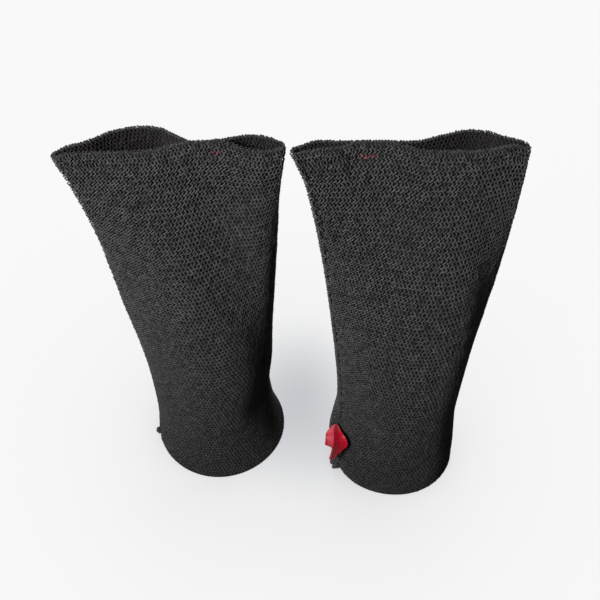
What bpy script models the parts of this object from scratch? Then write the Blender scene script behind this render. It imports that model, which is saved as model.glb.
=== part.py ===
"""Pair of knitted arm warmers standing on their hems, as closed cloth walls, in metres with +Z up.

The origin is on the floor, under the middle of the pair. -Y is the front.
"""

import math
from collections import namedtuple

import bmesh
import bpy
import numpy as np

# Driving dimensions of both warmers.
LENGTH = 0.200
WALL = 0.0016
EDGING_HEIGHT = 0.0060
EDGING_PROUD = 0.0003
SEAM_GAP = 0.0003
FOLD_SOFTNESS = 0.0008

# How finely the solids are cut up.
COLUMNS = 88
OUTLINE_POINTS = 880
FOLD_POINTS = 24
WALL_HEIGHTS = (0.000, 0.007, 0.016, 0.028, 0.042, 0.060, 0.082, 0.106, 0.130, 0.152, 0.172, 0.185)
SMOOTH_ANGLE = math.radians(50)

# A warmer's outline at one height: its middle, the half sizes of its round outline, how far it is
# flattened into the rim's outline (0 to 1), and how far the seam is turned from the left to the front.
Level = namedtuple("Level", "height middle_x middle_y half_width half_depth flattened seam_turn_deg")

# The rim's outline at one place across it, measured from the rim's middle: its front and its back.
RimStation = namedtuple("RimStation", "across front back")

# A soft trough down the cloth, or a ridge where its depth is negative. Its place round the cloth is a
# share of the girth, counted from the seam along the front.
Fold = namedtuple("Fold", "low_height low_share high_height high_share width depth")

# The edging's section: how far out of the cloth's outer face a corner is, and how high in the edging.
EdgingCorner = namedtuple("EdgingCorner", "out up")

# One place along the bent tape: its two edges and the crease between them, how far the crease stands
# out, and which way the tape faces, in degrees above the horizon.
TapeStation = namedtuple("TapeStation", "left_x crease_x right_x y z crease_out facing_deg")

LEFT_LEVELS = (
    Level(0.000, -0.0389, 0.0050, 0.0317, 0.0322, 0.00, 14),
    Level(0.012, -0.0401, 0.0050, 0.0294, 0.0306, 0.00, 15),
    Level(0.027, -0.0404, 0.0050, 0.0283, 0.0292, 0.00, 16),
    Level(0.042, -0.0406, 0.0051, 0.0281, 0.0290, 0.00, 17),
    Level(0.060, -0.0402, 0.0052, 0.0292, 0.0285, 0.02, 18),
    Level(0.085, -0.0406, 0.0054, 0.0310, 0.0280, 0.08, 18),
    Level(0.115, -0.0416, 0.0054, 0.0336, 0.0274, 0.22, 18),
    Level(0.145, -0.0421, 0.0050, 0.0355, 0.0290, 0.45, 17),
    Level(0.172, -0.0436, 0.0044, 0.0383, 0.0310, 0.75, 16),
    Level(0.200, -0.0456, 0.0040, 0.0426, 0.0200, 1.00, 14),
)
LEFT_RIM = (
    RimStation(-0.0400, -0.0079, -0.0041),
    RimStation(-0.0358, -0.0071, -0.0017),
    RimStation(-0.0298, -0.0065, 0.0005),
    RimStation(-0.0219, -0.0062, 0.0057),
    RimStation(-0.0110, -0.0060, 0.0086),
    RimStation(-0.0049, -0.0057, 0.0082),
    RimStation(0.0030, -0.0050, 0.0036),
    RimStation(0.0090, -0.0045, 0.0005),
    RimStation(0.0130, -0.0044, 0.0006),
    RimStation(0.0200, -0.0045, 0.0019),
    RimStation(0.0290, -0.0047, 0.0038),
    RimStation(0.0345, -0.0046, 0.0034),
    RimStation(0.0400, -0.0036, 0.0011),
)
LEFT_FOLDS = (
    Fold(0.085, 0.270, 0.199, 0.305, 0.0085, 0.0013),
    Fold(0.110, 0.170, 0.205, 0.130, 0.0090, -0.0009),
    Fold(0.060, 0.395, 0.190, 0.420, 0.0070, -0.0008),
    Fold(0.020, 0.330, 0.070, 0.380, 0.0100, 0.0008),
    Fold(0.070, 0.660, 0.196, 0.700, 0.0080, 0.0014),
    Fold(0.040, 0.870, 0.160, 0.900, 0.0090, 0.0010),
    Fold(0.030, 0.580, 0.120, 0.560, 0.0080, -0.0008),
)
RIGHT_LEVELS = (
    Level(0.000, 0.0506, -0.0090, 0.0304, 0.0290, 0.00, 20),
    Level(0.012, 0.0497, -0.0088, 0.0308, 0.0292, 0.00, 20),
    Level(0.027, 0.0497, -0.0084, 0.0298, 0.0287, 0.00, 19),
    Level(0.042, 0.0496, -0.0079, 0.0286, 0.0285, 0.00, 19),
    Level(0.060, 0.0494, -0.0073, 0.0288, 0.0283, 0.02, 18),
    Level(0.085, 0.0494, -0.0061, 0.0309, 0.0278, 0.08, 18),
    Level(0.115, 0.0500, -0.0040, 0.0346, 0.0270, 0.22, 18),
    Level(0.145, 0.0493, -0.0014, 0.0375, 0.0275, 0.45, 16),
    Level(0.172, 0.0478, 0.0014, 0.0403, 0.0285, 0.75, 14),
    Level(0.200, 0.0438, 0.0038, 0.0443, 0.0200, 1.00, 12),
)
RIGHT_RIM = (
    RimStation(-0.0420, -0.0076, -0.0029),
    RimStation(-0.0385, -0.0064, -0.0005),
    RimStation(-0.0330, -0.0054, 0.0012),
    RimStation(-0.0260, -0.0047, 0.0008),
    RimStation(-0.0190, -0.0044, 0.0009),
    RimStation(-0.0100, -0.0042, 0.0011),
    RimStation(-0.0030, -0.0043, 0.0007),
    RimStation(0.0030, -0.0048, 0.0010),
    RimStation(0.0110, -0.0051, 0.0037),
    RimStation(0.0230, -0.0051, 0.0068),
    RimStation(0.0290, -0.0045, 0.0062),
    RimStation(0.0345, -0.0036, 0.0034),
    RimStation(0.0420, -0.0032, 0.0014),
)
RIGHT_FOLDS = (
    Fold(0.070, 0.420, 0.198, 0.375, 0.0075, 0.0014),
    Fold(0.090, 0.330, 0.190, 0.290, 0.0080, -0.0009),
    Fold(0.100, 0.140, 0.196, 0.165, 0.0090, 0.0010),
    Fold(0.018, 0.120, 0.080, 0.090, 0.0090, 0.0009),
    Fold(0.060, 0.790, 0.197, 0.760, 0.0085, 0.0013),
    Fold(0.045, 0.600, 0.150, 0.620, 0.0080, 0.0010),
    Fold(0.090, 0.900, 0.180, 0.880, 0.0080, -0.0008),
)

EDGING_SECTION = (
    EdgingCorner(0.0, 0.0),
    EdgingCorner(EDGING_PROUD, 0.0012),
    EdgingCorner(EDGING_PROUD, 0.0048),
    EdgingCorner(-0.0004, 0.0060),
    EdgingCorner(-WALL + 0.0004, 0.0060),
    EdgingCorner(-WALL - EDGING_PROUD, 0.0048),
    EdgingCorner(-WALL - EDGING_PROUD, 0.0012),
    EdgingCorner(-WALL, 0.0),
)

# The label's tape leaves the right warmer's seam, hangs forward in a loop and comes back lower down.
TAPE_THICKNESS = 0.0008
LABEL_TAPE = (
    TapeStation(0.0198, 0.0210, 0.0221, -0.0186, 0.0350, 0.0002, 122),
    TapeStation(0.0176, 0.0204, 0.0227, -0.0222, 0.0371, 0.0006, 115),
    TapeStation(0.0161, 0.0201, 0.0234, -0.0249, 0.0379, 0.0010, 95),
    TapeStation(0.0152, 0.0200, 0.0248, -0.0272, 0.0376, 0.0013, 68),
    TapeStation(0.0153, 0.0199, 0.0257, -0.0286, 0.0361, 0.0016, 38),
    TapeStation(0.0168, 0.0197, 0.0254, -0.0294, 0.0337, 0.0014, 14),
    TapeStation(0.0181, 0.0196, 0.0245, -0.0298, 0.0306, 0.0010, 5),
    TapeStation(0.0183, 0.0196, 0.0230, -0.0298, 0.0262, 0.0006, -3),
    TapeStation(0.0184, 0.0198, 0.0220, -0.0287, 0.0205, 0.0004, -20),
    TapeStation(0.0190, 0.0203, 0.0218, -0.0262, 0.0181, 0.0002, -65),
    TapeStation(0.0201, 0.0210, 0.0219, -0.0212, 0.0176, 0.0000, -90),
)

YARN = (0.030, 0.030, 0.033)
EDGING_YARN = (0.036, 0.036, 0.039)
TAPE_RED = (0.560, 0.010, 0.045)


def smooth(stations, values, wanted):
    """A curve through the table's values that never overshoots them, read at the wanted places."""
    x = np.asarray(stations, float)
    y = np.asarray(values, float)
    step = np.diff(x)
    slope = np.diff(y) / step
    tangent = np.empty_like(y)
    tangent[0] = slope[0]
    tangent[-1] = slope[-1]
    for i in range(1, len(x) - 1):
        before, after = slope[i - 1], slope[i]
        same_way = before * after > 0
        tangent[i] = 2 * before * after / (before + after) if same_way else 0.0
    wanted = np.clip(wanted, x[0], x[-1])
    k = np.clip(np.searchsorted(x, wanted) - 1, 0, len(step) - 1)
    t = (wanted - x[k]) / step[k]
    rise = y[k] * (1 + 2 * t) * (1 - t) ** 2 + y[k + 1] * t * t * (3 - 2 * t)
    return rise + step[k] * (tangent[k] * t * (1 - t) ** 2 - tangent[k + 1] * t * t * (1 - t))


def column(table, name):
    """One named column of a table of named rows."""
    return [getattr(row, name) for row in table]


def evenly_spaced(loop, first):
    """OUTLINE_POINTS points evenly spaced round a closed loop, starting that far along it."""
    closed = np.vstack([loop, loop[:1]])
    along = np.concatenate([[0.0], np.cumsum(np.linalg.norm(np.diff(closed, axis=0), axis=1))])
    wanted = (first + along[-1] * np.arange(OUTLINE_POINTS) / OUTLINE_POINTS) % along[-1]
    return np.column_stack([np.interp(wanted, along, closed[:, axis]) for axis in (0, 1)])


def softened(loop, reach):
    """A closed loop with its corners rounded over about that reach."""
    girth = np.linalg.norm(np.diff(np.vstack([loop, loop[:1]]), axis=0), axis=1).sum()
    spread = reach * len(loop) / girth
    offset = np.arange(len(loop))
    offset = np.minimum(offset, len(loop) - offset)
    weight = np.exp(-0.5 * (offset / spread) ** 2)
    weight = np.fft.fft(weight / weight.sum())
    return np.column_stack([np.fft.ifft(np.fft.fft(loop[:, axis]) * weight).real for axis in (0, 1)])


def round_outline(half_width, half_depth, seam_turn):
    """An oval from its seam, running along the front first."""
    turn = np.linspace(0, 2 * math.pi, OUTLINE_POINTS, endpoint=False) + seam_turn
    return evenly_spaced(np.column_stack([-half_width * np.cos(turn), -half_depth * np.sin(turn)]), 0.0)


def rim_outline(rim, half_width, seam_from_fold):
    """The flattened rim from its seam, with a round fold at each end."""
    ends = (rim[0], rim[-1])
    radii = [(end.back - end.front) / 2 for end in ends]
    middles = [(end.back + end.front) / 2 for end in ends]
    across = np.linspace(ends[0].across, ends[1].across, OUTLINE_POINTS // 2)
    front = smooth(column(rim, "across"), column(rim, "front"), across)
    back = smooth(column(rim, "across"), column(rim, "back"), across)
    turn = np.linspace(0, math.pi, FOLD_POINTS)[1:-1]
    right_fold = np.column_stack(
        [ends[1].across + radii[1] * np.sin(turn), middles[1] - radii[1] * np.cos(turn)]
    )
    left_fold = np.column_stack(
        [ends[0].across - radii[0] * np.sin(turn), middles[0] + radii[0] * np.cos(turn)]
    )
    walls = [np.column_stack([across, front]), np.column_stack([across, back])[::-1]]
    loop = np.vstack([walls[0], right_fold, walls[1], left_fold])
    loop = softened(evenly_spaced(loop, 0.0), FOLD_SOFTNESS)
    fold = int(np.argmin(loop[:, 0]))
    loop = evenly_spaced(np.roll(loop, -fold, axis=0), seam_from_fold)
    return set_width(loop, 0.0, half_width)


def set_width(loop, middle, half_width):
    """The loop with its x stretched a little, so that it spans exactly its width."""
    low, high = loop[:, 0].min(), loop[:, 0].max()
    x = middle + half_width * (2 * (loop[:, 0] - low) / (high - low) - 1)
    return np.column_stack([x, loop[:, 1]])


def outward(loop):
    """The direction out of the cloth at each point of a loop, in plan."""
    along = np.roll(loop, -1, axis=0) - np.roll(loop, 1, axis=0)
    out = np.column_stack([along[:, 1], -along[:, 0]])
    return out / np.linalg.norm(out, axis=1)[:, None]


class Warmer:
    """One arm warmer's cloth: its outer face at any height, and that face moved in or out."""

    SEAM_FROM_FOLD = 0.0020

    def __init__(self, side, levels, rim, folds):
        self.side = side
        self.levels = levels
        self.folds = folds
        self.rim = rim_outline(rim, levels[-1].half_width, self.SEAM_FROM_FOLD)

    def level(self, height):
        """The table's row at any height."""
        heights = column(self.levels, "height")
        values = [float(smooth(heights, column(self.levels, name), height)) for name in Level._fields[1:]]
        return Level(height, *values)

    def outline(self, height):
        """The cloth's outer face at this height, and which way is out, in plan."""
        at = self.level(height)
        oval = round_outline(at.half_width, at.half_depth, math.radians(at.seam_turn_deg))
        loop = (1 - at.flattened) * oval + at.flattened * self.rim
        loop = set_width(loop, at.middle_x, at.half_width)
        loop[:, 1] += at.middle_y
        loop -= self.fold_depth(height, loop)[:, None] * outward(loop)
        return loop, outward(loop)

    def fold_depth(self, height, loop):
        """How far the folds push each point of the outline in at this height."""
        girth = np.linalg.norm(loop - np.roll(loop, 1, axis=0), axis=1).sum()
        share = np.arange(len(loop)) / len(loop)
        depth = np.zeros(len(loop))
        for fold in self.folds:
            up = (height - fold.low_height) / (fold.high_height - fold.low_height)
            if not 0 < up < 1:
                continue
            middle = fold.low_share + up * (fold.high_share - fold.low_share)
            away = (share - middle + 0.5) % 1 - 0.5
            depth += fold.depth * math.sin(math.pi * up) ** 2 * np.exp(-((away * girth / fold.width) ** 2))
        return depth

    def ring(self, height, out=0.0):
        """COLUMNS points round the cloth at this height, moved out of its outer face by that much."""
        loop, direction = self.outline(height)
        plan = (loop + out * direction)[:: OUTLINE_POINTS // COLUMNS]
        return np.column_stack([plan, np.full(COLUMNS, height)])


def material(name, colour, roughness):
    """A plain finish."""
    made = bpy.data.materials.new(name)
    made.use_nodes = True
    shader = made.node_tree.nodes["Principled BSDF"]
    shader.inputs["Base Color"].default_value = (*colour, 1.0)
    shader.inputs["Roughness"].default_value = roughness
    shader.inputs["Metallic"].default_value = 0.0
    made.diffuse_color = (*colour, 1.0)
    return made


def finish_object(name, mesh_builder, finish):
    """An object of the built mesh, with its faces outward and its folds shaded smooth."""
    bmesh.ops.recalc_face_normals(mesh_builder, faces=mesh_builder.faces)
    mesh = bpy.data.meshes.new(name)
    mesh_builder.to_mesh(mesh)
    mesh_builder.free()
    mesh.materials.append(finish)
    mesh.shade_smooth()
    mesh.set_sharp_from_angle(angle=SMOOTH_ANGLE)
    made = bpy.data.objects.new(name, mesh)
    bpy.context.scene.collection.objects.link(made)
    return made


def rings_to_mesh(rings, closed_section):
    """Faces between each ring and the next, and from the last to the first or over both ends."""
    builder = bmesh.new()
    rows = [[builder.verts.new(point) for point in ring] for ring in rings]
    count = len(rows[0])
    pairs = list(zip(rows, rows[1:]))
    if closed_section:
        pairs.append((rows[-1], rows[0]))
    for near, far in pairs:
        for i in range(count):
            after = (i + 1) % count
            builder.faces.new((near[i], near[after], far[after], far[i]))
    if not closed_section:
        builder.faces.new(rows[0][::-1])
        builder.faces.new(rows[-1])
    return builder


def tube(warmer, finish):
    """The knitted tube: a wall with an outer and an inner face, open at the top and at the hem."""
    top = LENGTH - EDGING_HEIGHT - SEAM_GAP
    heights = [*WALL_HEIGHTS, top]
    outer = [warmer.ring(height) for height in heights]
    inner = [warmer.ring(height, -WALL) for height in reversed(heights)]
    return finish_object(warmer.side + "_tube", rings_to_mesh(outer + inner, True), finish)


def edging(warmer, finish):
    """The linked edging: a thicker band round the wide open end."""
    foot = LENGTH - EDGING_HEIGHT
    rings = [warmer.ring(foot + corner.up, corner.out) for corner in EDGING_SECTION]
    return finish_object(warmer.side + "_edging", rings_to_mesh(rings, True), finish)


def label(finish):
    """The folded loop of tape in the right warmer's seam."""
    sections = []
    for at in LABEL_TAPE:
        facing = math.radians(at.facing_deg)
        out = np.array([0.0, -math.cos(facing), math.sin(facing)])
        left = np.array([at.left_x, at.y, at.z])
        crease = np.array([at.crease_x, at.y, at.z]) + at.crease_out * out
        right = np.array([at.right_x, at.y, at.z])
        through = out * TAPE_THICKNESS / 2
        front = [point + through for point in (left, crease, right)]
        back = [point - through for point in (right, crease, left)]
        sections.append(front + back)
    return finish_object("label", rings_to_mesh(sections, False), finish)


def clear_scene():
    """Takes every object out of the scene."""
    for old in list(bpy.data.objects):
        bpy.data.objects.remove(old, do_unlink=True)


def main():
    """Builds both warmers and the label."""
    clear_scene()
    yarn = material("yarn", YARN, 0.9)
    edging_yarn = material("edging_yarn", EDGING_YARN, 0.85)
    tape = material("tape", TAPE_RED, 0.55)
    left = Warmer("left", LEFT_LEVELS, LEFT_RIM, LEFT_FOLDS)
    right = Warmer("right", RIGHT_LEVELS, RIGHT_RIM, RIGHT_FOLDS)
    for warmer in (left, right):
        tube(warmer, yarn)
        edging(warmer, edging_yarn)
    label(tape)


main()
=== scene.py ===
"""Pair of knitted arm warmers standing on their hems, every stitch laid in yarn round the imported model.

Sizes are in metres in the model's own frame: the origin is on the floor and -Y is the front. A place on
the cloth is a share of its girth, counted from the side seam along the front, and a height.
"""

import logging
import math
from dataclasses import dataclass, field
from enum import Enum
from typing import NamedTuple, Sequence

import bmesh
import bpy
import numpy as np
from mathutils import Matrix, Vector


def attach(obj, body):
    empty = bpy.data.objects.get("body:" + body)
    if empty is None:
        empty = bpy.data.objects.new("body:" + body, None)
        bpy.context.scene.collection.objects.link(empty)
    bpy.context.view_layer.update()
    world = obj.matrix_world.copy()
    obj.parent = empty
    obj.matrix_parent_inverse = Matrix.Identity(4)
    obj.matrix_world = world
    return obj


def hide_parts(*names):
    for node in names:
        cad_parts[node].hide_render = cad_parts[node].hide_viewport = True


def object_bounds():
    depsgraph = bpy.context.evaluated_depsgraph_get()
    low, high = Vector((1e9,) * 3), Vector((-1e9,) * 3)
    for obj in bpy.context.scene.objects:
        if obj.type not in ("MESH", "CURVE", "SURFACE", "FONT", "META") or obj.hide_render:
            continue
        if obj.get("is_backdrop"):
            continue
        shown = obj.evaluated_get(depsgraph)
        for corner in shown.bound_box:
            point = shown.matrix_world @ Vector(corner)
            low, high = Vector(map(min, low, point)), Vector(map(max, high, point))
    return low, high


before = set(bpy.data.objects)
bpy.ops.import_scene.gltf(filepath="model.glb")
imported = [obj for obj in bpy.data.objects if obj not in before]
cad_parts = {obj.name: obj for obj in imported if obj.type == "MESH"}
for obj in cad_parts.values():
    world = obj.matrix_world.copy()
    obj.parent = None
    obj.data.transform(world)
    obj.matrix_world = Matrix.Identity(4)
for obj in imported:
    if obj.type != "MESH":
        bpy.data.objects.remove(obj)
CAD_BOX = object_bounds()

LOG = logging.getLogger("arm_warmers")

# A colour, a place or a move, and one input or output of a shader's node.
Triple = tuple[float, float, float]
Socket = bpy.types.NodeSocket

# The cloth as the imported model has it.
LENGTH = 0.200
WALL = 0.0016
EDGING_TOP_INSET = 0.0004

# The knit, as its maker would count it.
STITCHES_ROUND = 116
STITCH_WIDTH = 0.00153
KNIT_GIRTH = STITCH_WIDTH * STITCHES_ROUND
ROW_HEIGHT = 0.00208
ROW_SHIFT = 0.42
BODY_TOP = 0.1945

# Where the yarn and the ground under it lie, out of the cloth's outer face.
YARN_OUT = -0.00018
GROUND_OUT = -0.00066
GROUND_IN = -0.00140

# How far the rim and the hem turn out, and how far from the end they start to.
RIM_FLARE = 0.0004
HEM_FLARE = 0.0003
FLARE_REACH = 0.016

# How far under the rim its waves begin.
WAVE_REACH = 0.030

# How high the lowest yarn lies over the floor.
FLOOR_CLEAR = 0.00003

# How finely a cloth's form is kept between its rings, and how near its top row the topmost place lies.
FORM_COLUMNS = 1100
FORM_STEP = 0.0005
TOP_CLEAR = 0.001

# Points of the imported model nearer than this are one, and a face this level is no part of the wall.
SAME_POINT = 0.000001
LEVEL_FACE = 0.9


class Side(Enum):
    """Which of the two warmers."""

    LEFT = "left"
    RIGHT = "right"


class Slot(Enum):
    """The record's material slots."""

    KNIT = "knit"
    EDGING = "edging"
    TAPE = "tape"


class Crease(NamedTuple):
    """A soft trough in the cloth, or a ridge where its depth is negative, from its lower end to its upper."""

    low_height: float
    low_share: float
    high_height: float
    high_share: float
    width: float
    depth: float


class RimWave(NamedTuple):
    """A place where the rim stands higher than the model's, or lower where its rise is negative."""

    share: float
    reach: float
    rise: float


class YarnStation(NamedTuple):
    """One section of a stitch's yarn: its middle and its half sizes."""

    across: float
    up: float
    out: float
    half_width: float
    half_height: float


class TapeStation(NamedTuple):
    """One place along the label's tape: its two edges, the crease between them and the way it faces."""

    left_x: float
    crease_x: float
    right_x: float
    y: float
    z: float
    crease_out: float
    facing_deg: float


# ---------------------------------------------------------------- meshes


def deselect_all() -> None:
    """Leaves nothing selected, so that an operator acts on its own piece alone."""
    for other in bpy.context.selected_objects:
        other.select_set(False)


def mesh_object(
    name: str, points: np.ndarray, faces: Sequence, finish: bpy.types.Material
) -> bpy.types.Object:
    """Makes a smooth object of points and faces.

    Args:
        name: The piece's name.
        points: One row of x, y and z for each point.
        faces: The point numbers of each face.
        finish: The piece's material.

    Returns:
        The new object, at the origin.
    """
    mesh = bpy.data.meshes.new(name)
    mesh.from_pydata(points.tolist(), [], [tuple(face) for face in np.asarray(faces).tolist()])
    mesh.shade_smooth()
    mesh.materials.append(finish)
    made = bpy.data.objects.new(name, mesh)
    bpy.context.scene.collection.objects.link(made)
    return made


def grid_faces(rows: int, columns: int, closed_rows: bool) -> np.ndarray:
    """Faces of a grid that closes round its columns.

    Args:
        rows: How many rings of points there are.
        columns: How many points a ring has.
        closed_rows: Whether the last ring is joined to the first.

    Returns:
        One row of four point numbers for each face.
    """
    row = np.arange(rows if closed_rows else rows - 1)[:, None]
    column = np.arange(columns)[None, :]
    above = (row + 1) % rows
    after = (column + 1) % columns
    low, high = row * columns, above * columns
    corners = [low + column, low + after, high + after, high + column]
    return np.stack(np.broadcast_arrays(*corners), axis=-1).reshape(-1, 4)


def spline_round(loop: np.ndarray, count: int) -> np.ndarray:
    """Evenly counted points on the smooth closed curve through a loop's points.

    Args:
        loop: The loop's points, one row each.
        count: How many points are wanted.

    Returns:
        The new points, one row each, from the loop's first point on.
    """
    size = len(loop)
    turn = 2 * math.pi * np.arange(size) / size
    knots = np.fft.ifft(np.fft.fft(loop, axis=0) * (6 / (4 + 2 * np.cos(turn)))[:, None], axis=0).real
    at = np.arange(count) * size / count
    first = np.floor(at).astype(int)
    part = at - first
    weights = (
        (1 - part) ** 3 / 6,
        (3 * part**3 - 6 * part**2 + 4) / 6,
        (-3 * part**3 + 3 * part**2 + 3 * part + 1) / 6,
        part**3 / 6,
    )
    return sum(weight[:, None] * knots[(first - 1 + i) % size] for i, weight in enumerate(weights))


def between_levels(levels: np.ndarray, values: np.ndarray, wanted: np.ndarray) -> np.ndarray:
    """Values on smooth curves through the levels.

    Args:
        levels: The levels' heights, rising.
        values: What each level has, one entry a level.
        wanted: The heights to read.

    Returns:
        One entry for each wanted height.
    """
    slopes = np.gradient(values, levels, axis=0)
    k = np.clip(np.searchsorted(levels, wanted, side="right") - 1, 0, len(levels) - 2)
    step = (levels[k + 1] - levels[k]).reshape(-1, *[1] * (values.ndim - 1))
    t = np.clip((wanted - levels[k]) / (levels[k + 1] - levels[k]), 0, 1).reshape(step.shape)
    rise = values[k] * (1 + 2 * t) * (1 - t) ** 2 + values[k + 1] * t * t * (3 - 2 * t)
    return rise + step * (slopes[k] * t * (1 - t) ** 2 - slopes[k + 1] * t * t * (1 - t))


# ---------------------------------------------------------------- the cloth's form


class ClothForm:
    """One warmer's outer face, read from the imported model's rings, with finer creases and a waved rim."""

    def __init__(
        self, side: Side, seam_turn_deg: float, creases: Sequence[Crease], rim_waves: Sequence[RimWave]
    ) -> None:
        """Reads the form.

        Args:
            side: Which warmer it is.
            seam_turn_deg: How far the seam is turned at the hem, from the left towards the front.
            creases: The finer creases and ridges.
            rim_waves: Where the rim stands higher or lower than the model's.
        """
        self.side_name = side.value
        tube_rings = self._rings(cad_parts[f"{side.value}_tube"])
        edging_rings = self._rings(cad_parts[f"{side.value}_edging"])
        top = max(edging_rings)
        levels = sorted(tube_rings)
        loops = [tube_rings[level] for level in levels]
        rim = edging_rings[top]
        loops.append(rim + EDGING_TOP_INSET * self._outward(rim))
        levels.append(top)
        loops[0] = self._from_seam(loops[0], math.radians(seam_turn_deg))
        for i in range(1, len(loops)):
            loops[i] = self._in_step(loops[i], loops[i - 1])
        rounds = np.array([spline_round(loop, FORM_COLUMNS) for loop in loops])
        self.heights = np.arange(0, LENGTH + FORM_STEP / 2, FORM_STEP)
        plan = between_levels(np.array(levels), rounds, self.heights)
        self.girths = np.linalg.norm(plan - np.roll(plan, 1, axis=1), axis=2).sum(axis=1)
        outward = self._outward(plan)
        depth = np.zeros(plan.shape[:2])
        for crease in creases:
            depth += self._crease_depth(crease)
        depth -= RIM_FLARE * np.exp(-(((LENGTH - self.heights) / FLARE_REACH) ** 2))[:, None]
        depth -= HEM_FLARE * np.exp(-((self.heights / FLARE_REACH) ** 2))[:, None]
        plan = plan - depth[..., None] * outward
        self.points = np.concatenate([plan, self._waved_heights(rim_waves)[..., None]], axis=2)
        along = np.roll(self.points, -1, axis=1) - np.roll(self.points, 1, axis=1)
        normals = np.cross(along, np.gradient(self.points, axis=0))
        self.normals = normals / np.linalg.norm(normals, axis=2, keepdims=True)

    @staticmethod
    def _rings(node: bpy.types.Object) -> dict[float, np.ndarray]:
        """The outer ring of a packed tube at each height.

        Args:
            node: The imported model's node, which is left as it is.

        Returns:
            The ring's points in plan, counterclockwise from above, for each height.
        """
        copy = bmesh.new()
        copy.from_mesh(node.data)
        bmesh.ops.remove_doubles(copy, verts=copy.verts, dist=SAME_POINT)
        level_of = {vertex: round(vertex.co.z, 5) for vertex in copy.verts}
        links: dict[float, dict] = {}
        for edge in copy.edges:
            low, high = edge.verts
            is_wall = any(abs(face.normal.z) < LEVEL_FACE for face in edge.link_faces)
            if level_of[low] != level_of[high] or not is_wall:
                continue
            at_level = links.setdefault(level_of[low], {})
            at_level.setdefault(low, []).append(high)
            at_level.setdefault(high, []).append(low)
        rings = {}
        for level, neighbours in links.items():
            loops = ClothForm._loops(neighbours)
            rings[level] = max(loops, key=lambda loop: abs(ClothForm._plan_area(loop)))
            if ClothForm._plan_area(rings[level]) < 0:
                rings[level] = rings[level][::-1]
        copy.free()
        return rings

    @staticmethod
    def _loops(neighbours: dict) -> list[np.ndarray]:
        """The closed loops that linked points make, in plan.

        Args:
            neighbours: The points that each point is linked to.

        Returns:
            The points of each loop, in order.
        """
        loops = []
        waiting = set(neighbours)
        while waiting:
            start = min(waiting, key=lambda vertex: vertex.index)
            loop = [start]
            waiting.discard(start)
            while True:
                onward = [vertex for vertex in neighbours[loop[-1]] if vertex in waiting]
                if not onward:
                    break
                loop.append(onward[0])
                waiting.discard(onward[0])
            loops.append(np.array([vertex.co[:2] for vertex in loop], float))
        return loops

    @staticmethod
    def _plan_area(loop: np.ndarray) -> float:
        """The area inside a loop, positive where it runs counterclockwise."""
        after = np.roll(loop, -1, axis=0)
        return float((loop[:, 0] * after[:, 1] - after[:, 0] * loop[:, 1]).sum() / 2)

    @staticmethod
    def _outward(loops: np.ndarray) -> np.ndarray:
        """The direction out of the cloth, in plan.

        Args:
            loops: A loop's points, or a stack of loops.

        Returns:
            A direction for each point.
        """
        along = np.roll(loops, -1, axis=-2) - np.roll(loops, 1, axis=-2)
        out = np.stack([along[..., 1], -along[..., 0]], axis=-1)
        return out / np.linalg.norm(out, axis=-1, keepdims=True)

    @staticmethod
    def _from_seam(loop: np.ndarray, seam_turn: float) -> np.ndarray:
        """A loop, started at the seam.

        Args:
            loop: The loop's points.
            seam_turn: How far the seam is turned from the left towards the front.

        Returns:
            The loop from the point that lies the seam's way from its middle.
        """
        from_middle = loop - (loop.max(axis=0) + loop.min(axis=0)) / 2
        way = np.array([-math.cos(seam_turn), -math.sin(seam_turn)])
        towards = from_middle @ way / np.linalg.norm(from_middle, axis=1)
        return np.roll(loop, -int(np.argmax(towards)), axis=0)

    @staticmethod
    def _in_step(loop: np.ndarray, below: np.ndarray) -> np.ndarray:
        """The loop, started so that its points stand over those of the loop below."""
        misses = [float(((np.roll(loop, -shift, axis=0) - below) ** 2).sum()) for shift in range(len(loop))]
        return np.roll(loop, -int(np.argmin(misses)), axis=0)

    def _waved_heights(self, rim_waves: Sequence[RimWave]) -> np.ndarray:
        """How high each point of the form lies, with the rim's waves.

        Args:
            rim_waves: Where the rim stands higher or lower.

        Returns:
            One row of heights for each height.
        """
        share = np.arange(FORM_COLUMNS) / FORM_COLUMNS
        rise = np.zeros(FORM_COLUMNS)
        for wave in rim_waves:
            away = ((share - wave.share + 0.5) % 1 - 0.5) * self.girths[-1]
            rise += wave.rise * np.exp(-((away / wave.reach) ** 2))
        up = np.clip(1 - (LENGTH - self.heights) / WAVE_REACH, 0, 1)
        return self.heights[:, None] + (up * up * (3 - 2 * up))[:, None] * rise

    def _crease_depth(self, crease: Crease) -> np.ndarray:
        """How far one crease pushes each point of the form in.

        Args:
            crease: The crease or ridge.

        Returns:
            One row of depths for each height.
        """
        up = (self.heights - crease.low_height) / (crease.high_height - crease.low_height)
        fade = np.where((up > 0) & (up < 1), np.sin(math.pi * np.clip(up, 0, 1)) ** 2, 0.0)
        middle = crease.low_share + up * (crease.high_share - crease.low_share)
        share = np.arange(FORM_COLUMNS) / FORM_COLUMNS
        away = (share[None, :] - middle[:, None] + 0.5) % 1 - 0.5
        return crease.depth * fade[:, None] * np.exp(-((away * self.girths[:, None] / crease.width) ** 2))

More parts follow.
